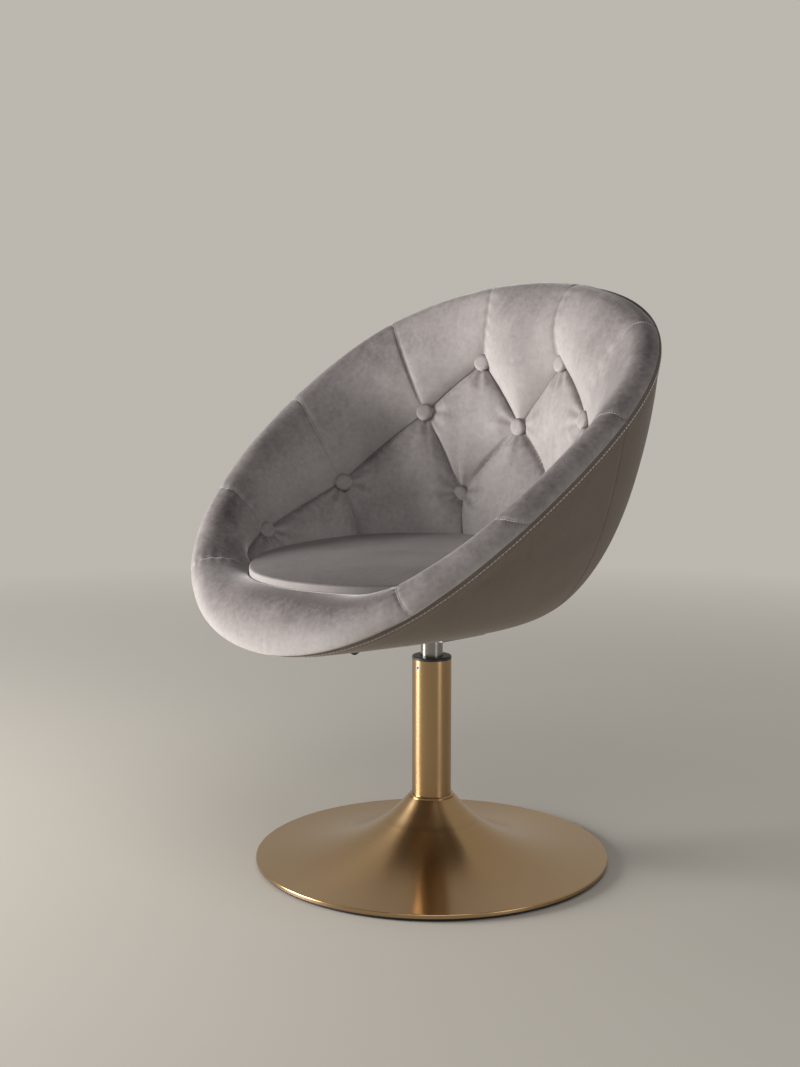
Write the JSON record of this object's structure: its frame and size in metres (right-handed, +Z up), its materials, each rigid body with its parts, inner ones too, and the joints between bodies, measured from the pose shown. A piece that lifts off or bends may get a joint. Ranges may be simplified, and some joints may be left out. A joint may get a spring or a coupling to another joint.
{
  "type": "tufted swivel bucket chair",
  "caption": "Round bucket chair with a tufted velvet lining, padded rim roll and loose seat cushion, turning and lifting on a gas column with a trumpet foot.",
  "frame": {"origin": "on the floor at the axis of the column", "axes": "+Z up along the column, the chair faces -Y, +X to the sitter's left"},
  "size_m": [0.5884, 0.5092, 0.7371],
  "materials": {
    "rubber": "matt",
    "steel": "zinc plated",
    "cast_iron": "raw casting",
    "brass": "brushed",
    "black_plastic": "fine grain",
    "bright_metal": "polished",
    "plywood": "raw",
    "shell_plastic": "moulded",
    "foam": "open foam",
    "outer_velvet": "short velvet pile",
    "velvet": "short velvet pile"
  },
  "bodies": {
    "base": {"floor_ring": "rubber", "foot_plate": "steel", "foot_weight": "cast_iron", "foot_cover": "brass", "foot_collar": "brass", "column_socket": "steel", "column_tube": "brass", "column_cap": "black_plastic", "column_set_screw": "steel", "column_end_disc": "steel", "guide_sleeve": "black_plastic", "bearing_lower_race": "steel"},
    "bearing": {"bearing_cage": "black_plastic", "bearing_balls": "steel"},
    "spindle": {"bearing_upper_race": "steel", "piston_rod": "steel", "retaining_clip": "steel", "bump_stop": "rubber"},
    "seat": {"gas_cylinder": "bright_metal", "cylinder_gland": "steel", "seat_plate": "steel", "lever_pin": "steel", "seat_bolts": "steel", "tee_nuts": "steel", "seat_board": "plywood", "seat_pad": "foam", "bucket_shell": "shell_plastic", "outer_cover_front": "outer_velvet", "outer_cover_back": "outer_velvet", "seat_cushion": "velvet", "roll_front": "velvet", "roll_back": "velvet", "roll_left_1": "velvet", "roll_left_2": "velvet", "roll_left_3": "velvet", "roll_left_4": "velvet", "roll_right_1": "velvet", "roll_right_2": "velvet", "roll_right_3": "velvet", "roll_right_4": "velvet", "lining_left_front": "velvet", "lining_left_rear": "velvet", "lining_left_diamond": "velvet", "lining_right_front": "velvet", "lining_right_rear": "velvet", "lining_right_diamond": "velvet", "lining_back": "velvet", "tuft_buttons": "velvet"},
    "lever": {"height_lever": "steel", "lever_grip": "black_plastic"},
    "release": {"release_pin": "steel"}
  },
  "joints": [
    {"name": "swivel", "type": "hinge", "parent": "base", "child": "spindle", "pos_m": [0, 0, 0.02], "axis": [0, 0, 1], "continuous": true},
    {"name": "bearing_roll", "type": "hinge", "parent": "base", "child": "bearing", "pos_m": [0, 0, 0.02], "axis": [0, 0, 1], "continuous": true},
    {"name": "lift", "type": "slide", "parent": "spindle", "child": "seat", "axis": [0, 0, 1], "range_m": [0, 0.14]},
    {"name": "lever_swing", "type": "hinge", "parent": "seat", "child": "lever", "pos_m": [-0.033, 0, 0.309], "axis": [0, 1, 0], "range_deg": [0, 7], "stiffness_Nm_per_rad": 2, "springref_deg": -2.86},
    {"name": "release_press", "type": "slide", "parent": "seat", "child": "release", "axis": [0, 0, -1], "range_m": [0, 0.0047]}
  ],
  "couplings": [
    {"joint": "bearing_roll", "follows": "swivel", "ratio": 0.5},
    {"joint": "release_press", "follows": "lever_swing", "m_per_rad": 0.038}
  ]
}
